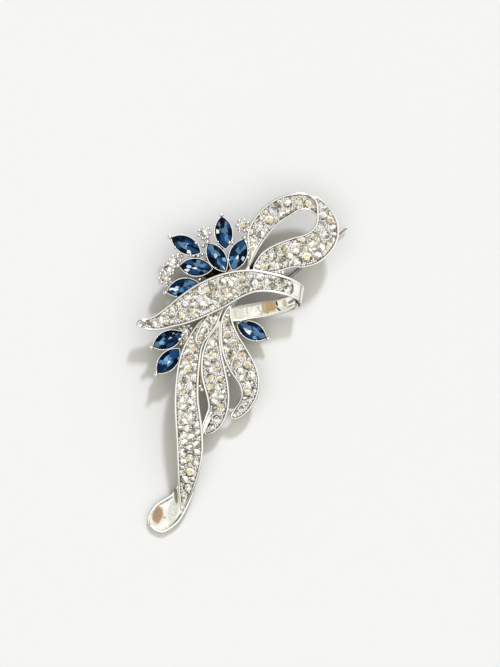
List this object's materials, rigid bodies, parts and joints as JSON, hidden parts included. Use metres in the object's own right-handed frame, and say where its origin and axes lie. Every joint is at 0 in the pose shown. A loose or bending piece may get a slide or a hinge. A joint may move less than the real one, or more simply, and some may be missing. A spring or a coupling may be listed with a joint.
{
  "type": "flower brooch",
  "caption": "Ribbon spray brooch: a looped bow with long tails, paved channels, blue marquise leaves and a hinged pin with a hook catch.",
  "frame": {"origin": "centre of the brooch's box in plan, on the surface that it lies on", "axes": "+Y along the brooch from the curled tail to the loop, +X to the right as it is seen from the front, +Z out of its face"},
  "size_m": [0.0543, 0.0881, 0.0101],
  "materials": {
    "silver_metal": "bright polished silver-tone plate",
    "pin_metal": "polished steel wire",
    "paving": "clear, tan and amber round rhinestones set in rows",
    "blue_stone": "deep blue faceted glass",
    "clear_stone": "clear faceted glass"
  },
  "bodies": {
    "brooch": {"frame": "silver_metal", "hinge_rivet": "pin_metal", "pave_loop_upper": "paving", "pave_loop_lower": "paving", "pave_band": "paving", "pave_leaf": "paving", "pave_tail_left": "paving", "pave_tail_middle": "paving", "pave_tail_right": "paving", "stone_1": "blue_stone", "stone_2": "blue_stone", "stone_3": "blue_stone", "stone_4": "blue_stone", "stone_5": "blue_stone", "stone_6": "blue_stone", "stone_7": "blue_stone", "stone_8": "blue_stone", "stone_9": "blue_stone", "floret_stones": "clear_stone"},
    "pin": {"pin_stem": "pin_metal"}
  },
  "joints": [
    {"name": "pin_hinge", "type": "hinge", "parent": "brooch", "child": "pin", "pos_m": [0.0099, 0.0208, 0.0013], "axis": [-0.4583, 0.5385, -0.7071], "range_deg": [0, 95]}
  ]
}
